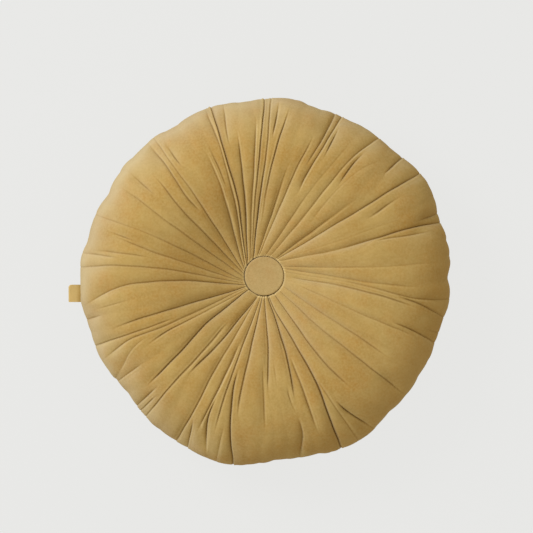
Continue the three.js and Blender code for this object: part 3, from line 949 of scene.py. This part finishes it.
def velvet_material(name, paleness):
    """Velvet with mottled nap, painted sheen and painted shade. paleness is how much of its pale tint it
    has all over.
    """
    material = bpy.data.materials.new(name)
    material.use_nodes = True
    nodes = material.node_tree.nodes
    links = material.node_tree.links
    shader = nodes["Principled BSDF"]
    shader.inputs["Roughness"].default_value = 0.9
    shader.inputs["Specular IOR Level"].default_value = 0.07
    shader.inputs["Sheen Weight"].default_value = 0.06
    shader.inputs["Sheen Roughness"].default_value = 0.5
    shader.inputs["Sheen Tint"].default_value = linear(255, 244, 200)
    place = nodes.new("ShaderNodeTexCoord")

    grain = nodes.new("ShaderNodeAttribute")
    grain.attribute_name = "grain"

    def noise(scale, detail, distortion, where):
        texture = nodes.new("ShaderNodeTexNoise")
        texture.inputs["Scale"].default_value = scale
        texture.inputs["Detail"].default_value = detail
        texture.inputs["Distortion"].default_value = distortion
        links.new(where, texture.inputs["Vector"])
        return texture.outputs["Fac"]

    def mixed(factor, first, second):
        mix = nodes.new("ShaderNodeMix")
        mix.data_type = "RGBA"
        links.new(factor, mix.inputs["Factor"])
        for socket, value in ((mix.inputs["A"], first), (mix.inputs["B"], second)):
            if isinstance(value, tuple):
                socket.default_value = value
            else:
                links.new(value, socket)
        return mix.outputs["Result"]

    def ranged(value, low, high, to_low=0.0, to_high=1.0):
        remap = nodes.new("ShaderNodeMapRange")
        remap.inputs["From Min"].default_value = low
        remap.inputs["From Max"].default_value = high
        remap.inputs["To Min"].default_value = to_low
        remap.inputs["To Max"].default_value = to_high
        links.new(value, remap.inputs["Value"])
        return remap.outputs["Result"]

    def multiplied(first, second):
        math = nodes.new("ShaderNodeMath")
        math.operation = "MULTIPLY"
        links.new(first, math.inputs[0])
        links.new(second, math.inputs[1])
        return math.outputs["Value"]

    colour = linear(*COTTON)
    for layer in MOTTLING:
        where = grain.outputs["Vector"] if layer.drawn_out else place.outputs["Object"]
        spots = noise(layer.scale, layer.detail, layer.distortion, where)
        colour = mixed(ranged(spots, layer.low, layer.high, 0, layer.most), colour, linear(*layer.colour))
    # Painted sheen on steep cloth that faces the key light
    facing_key_light = nodes.new("ShaderNodeVectorMath")
    facing_key_light.operation = "DOT_PRODUCT"
    links.new(place.outputs["Normal"], facing_key_light.inputs[0])
    facing_key_light.inputs[1].default_value = PAINTED_LIGHT_DIRECTION
    split = nodes.new("ShaderNodeSeparateXYZ")
    links.new(place.outputs["Normal"], split.inputs[0])
    slope = ranged(split.outputs["Z"], *PAINTED_SHEEN_SLOPE)
    painted_sheen = multiplied(slope, ranged(facing_key_light.outputs["Value"], *PAINTED_LIGHT_RANGE))
    sheen_and_tint = ranged(painted_sheen, 0, 1, paleness, PAINTED_SHEEN_MOST)
    colour = mixed(sheen_and_tint, colour, linear(*PALE_TINT_AND_SHEEN))
    # Painted shade on cloth turned away from the key light
    away = ranged(facing_key_light.outputs["Value"], -0.25, -0.85, 0, 0.5)
    colour = mixed(away, colour, linear(*PAINTED_SHADE_SIDE))
    tone = nodes.new("ShaderNodeAttribute")
    tone.attribute_name = "tone"
    colour = mixed(ranged(tone.outputs["Fac"], 0, 3, 0, 0.54), colour, linear(*PALE_TONE_AND_HIGHLIGHT))
    colour = mixed(ranged(tone.outputs["Fac"], 0, -3, 0, 0.8), colour, linear(*DARK))
    painted_shade_and_highlight = nodes.new("ShaderNodeAttribute")
    painted_shade_and_highlight.attribute_name = "painted_shade_and_highlight"
    # Painted highlights on ridges and painted light round the button, and the tab's paler part
    colour = mixed(ranged(painted_shade_and_highlight.outputs["Fac"], 0, -1.5, 0, 0.75), colour, linear(*PALE_TONE_AND_HIGHLIGHT))
    # Painted shade in creases, along the seam and at the tab's root
    colour = mixed(ranged(painted_shade_and_highlight.outputs["Fac"], 0, 1, 0, 0.85), colour, linear(*PAINTED_CREASE_SHADE))
    links.new(colour, shader.inputs["Base Color"])
    bump = nodes.new("ShaderNodeBump")
    bump.inputs["Strength"].default_value = 0.25
    bump.inputs["Distance"].default_value = 0.0008
    links.new(noise(PILE_SCALE, 2, 0.0, place.outputs["Object"]), bump.inputs["Height"])
    links.new(bump.outputs["Normal"], shader.inputs["Normal"])
    return material


FLOOR_SIDE = 40.0
FLOOR_COLOUR = (232, 232, 230)
FLOOR_GLOW = 0.955


def make_stage():
    """A wide pale floor that glows a little, so that it is even and the cushion's shadow is soft."""
    mesh = bpy.data.meshes.new("floor")
    side = FLOOR_SIDE
    mesh.from_pydata(
        [(-side, -side, 0), (side, -side, 0), (side, side, 0), (-side, side, 0)], [], [(0, 1, 2, 3)]
    )
    floor = bpy.data.objects.new("floor", mesh)
    bpy.context.scene.collection.objects.link(floor)
    material = bpy.data.materials.new("floor")
    material.use_nodes = True
    shader = material.node_tree.nodes["Principled BSDF"]
    shader.inputs["Base Color"].default_value = (0.03, 0.03, 0.03, 1.0)
    shader.inputs["Roughness"].default_value = 1.0
    shader.inputs["Specular IOR Level"].default_value = 0.0
    shader.inputs["Emission Color"].default_value = linear(*FLOOR_COLOUR)
    shader.inputs["Emission Strength"].default_value = FLOOR_GLOW
    mesh.materials.append(material)


def make_light(name, azimuth, elevation, distance, size, power, target):
    """A round lamp that looks at the target from an azimuth, counted from +X to +Y."""
    data = bpy.data.lights.new(name, "AREA")
    data.shape = "DISK"
    data.size = size
    data.energy = power
    lamp = bpy.data.objects.new(name, data)
    bpy.context.scene.collection.objects.link(lamp)
    around_z, up = np.radians(azimuth), np.radians(elevation)
    away = np.array([np.cos(around_z) * np.cos(up), np.sin(around_z) * np.cos(up), np.sin(up)])
    lamp.location = target + away * distance
    lamp.rotation_mode = "QUATERNION"
    lamp.rotation_quaternion = Vector(away).to_track_quat("Z", "Y")


def make_camera(centre):
    """A camera straight above, shifted so that the button lies where the photograph has it."""
    data = bpy.data.cameras.new("camera")
    data.sensor_width = SENSOR_WIDTH
    width = PHOTO_SIDE_PX * MM_PER_PX * MM
    data.lens = SENSOR_WIDTH * (CAMERA_HEIGHT - SHARP_HEIGHT_MM * MM) / width
    data.clip_end = 100.0
    camera = bpy.data.objects.new("camera", data)
    bpy.context.scene.collection.objects.link(camera)
    aside = (PHOTO_SIDE_PX / 2 - BUTTON_CENTRE_PX[0]) * MM_PER_PX
    up = (BUTTON_CENTRE_PX[1] - PHOTO_SIDE_PX / 2) * MM_PER_PX
    camera.location = ((centre[0] + aside) * MM, (centre[1] + up) * MM, CAMERA_HEIGHT)
    bpy.context.scene.camera = camera


KEY_AZIMUTH = 146.0
KEY_ELEVATION = 45.0
KEY_DISTANCE = 2.2
KEY_SIZE = 1.0
KEY_POWER = 33.7
SKY_STRENGTH = 0.8
AIM_HEIGHT = 0.05

button_low, button_high = (np.array(corner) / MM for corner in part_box("button_front"))
CENTRE = (button_low + button_high)[:2] / 2

make_camera(CENTRE)
velvet = velvet_material("velvet", 0.0)
button_velvet = velvet_material("button_velvet", 0.13)
cushion = make_cushion(CENTRE)
front_button = make_button("front_button", "button_front", CENTRE)
back_button = make_button("back_button", "button_back", CENTRE)
tab_strip = make_tab()
for piece, node, material in (
    (cushion, "cushion", velvet),
    (front_button, "button_front", button_velvet),
    (back_button, "button_back", button_velvet),
    (tab_strip, "tab", velvet),
):
    piece.data.materials.append(material)
    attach(piece, "root")
    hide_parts(node)

make_stage()
target = np.array([CENTRE[0] * MM, CENTRE[1] * MM, AIM_HEIGHT])
make_light("key", KEY_AZIMUTH, KEY_ELEVATION, KEY_DISTANCE, KEY_SIZE, KEY_POWER, target)
world = bpy.data.worlds.new("world")
bpy.context.scene.world = world
world.use_nodes = True
world.node_tree.nodes["Background"].inputs["Color"].default_value = (1, 1, 1, 1)
world.node_tree.nodes["Background"].inputs["Strength"].default_value = SKY_STRENGTH
bpy.context.scene.view_settings.view_transform = "Standard"
